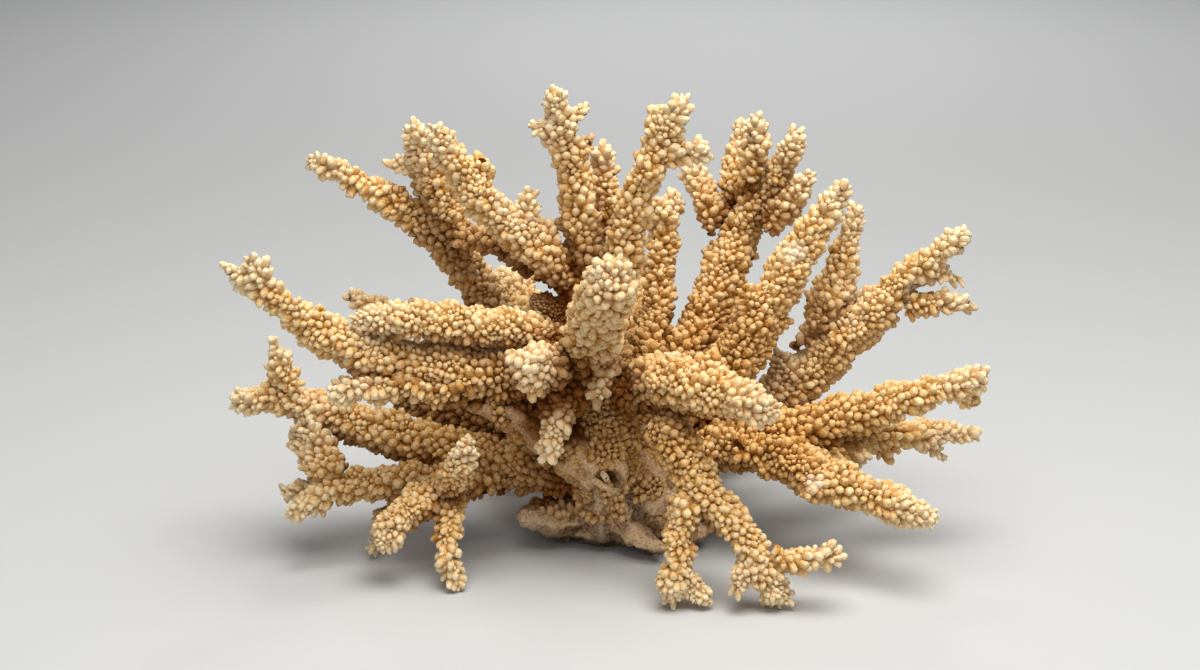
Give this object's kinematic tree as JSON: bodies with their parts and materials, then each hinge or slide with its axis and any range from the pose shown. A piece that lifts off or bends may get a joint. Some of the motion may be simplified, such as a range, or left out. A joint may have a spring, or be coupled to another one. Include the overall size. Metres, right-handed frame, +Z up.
{
  "type": "staghorn coral",
  "caption": "Staghorn coral skeleton: knobbly tapering branches spread from a short trunk on a holdfast that is cut off flat to stand on.",
  "frame": {"origin": "middle of the flat cut under the holdfast", "axes": "+X along the longest side, to the right as the picture shows it; -Y towards the picture's camera; +Z up"},
  "size_m": [0.3134, 0.1918, 0.2003],
  "materials": {
    "golden_coral": "rough, matt",
    "pale_coral": "rough, matt",
    "brown_coral": "rough, matt"
  },
  "bodies": {
    "root": {"holdfast_and_trunk": "brown_coral", "front_centre_branch": "pale_coral", "front_right_branch": "pale_coral", "front_leg": "golden_coral", "front_leg_right_toe": "golden_coral", "front_second_leg": "golden_coral", "front_left_stub": "pale_coral", "front_low_stub": "pale_coral", "centre_tall_branch": "golden_coral", "centre_right_branch": "golden_coral", "centre_middle_branch": "golden_coral", "centre_back_branch": "golden_coral", "upper_left_branch": "golden_coral", "upper_left_inner_fork": "golden_coral", "upper_left_long_branch": "golden_coral", "upper_left_broken_branch": "brown_coral", "upper_left_back_fork": "golden_coral", "worn_brown_stub": "brown_coral", "upper_right_branch": "golden_coral", "upper_right_left_fork": "golden_coral", "upper_right_tall_fork": "golden_coral", "upper_right_middle_fork": "golden_coral", "upper_right_short_fork": "golden_coral", "right_long_branch": "golden_coral", "right_side_branch": "golden_coral", "right_spear_branch": "golden_coral", "right_upright_fork": "golden_coral", "right_long_fork": "golden_coral", "right_under_branch": "golden_coral", "right_low_branch": "golden_coral", "right_back_short_branch": "golden_coral", "left_long_branch": "golden_coral", "left_ridge_branch": "golden_coral", "left_lower_fork": "golden_coral", "left_shelf": "brown_coral", "left_back_branch": "golden_coral", "left_dark_branch": "brown_coral", "lower_left_branch": "golden_coral", "lower_left_second_branch": "golden_coral", "lower_left_upright_fork": "golden_coral", "lower_left_bridge": "golden_coral", "lower_left_front_branch": "pale_coral", "lower_left_front_fork": "pale_coral", "lower_left_leg": "golden_coral", "lower_left_foot": "golden_coral", "back_left_branch": "golden_coral", "back_middle_branch": "golden_coral", "back_right_branch": "golden_coral", "back_low_left_branch": "golden_coral", "back_low_right_branch": "golden_coral", "back_upper_branch": "golden_coral"}
  },
  "joints": []
}
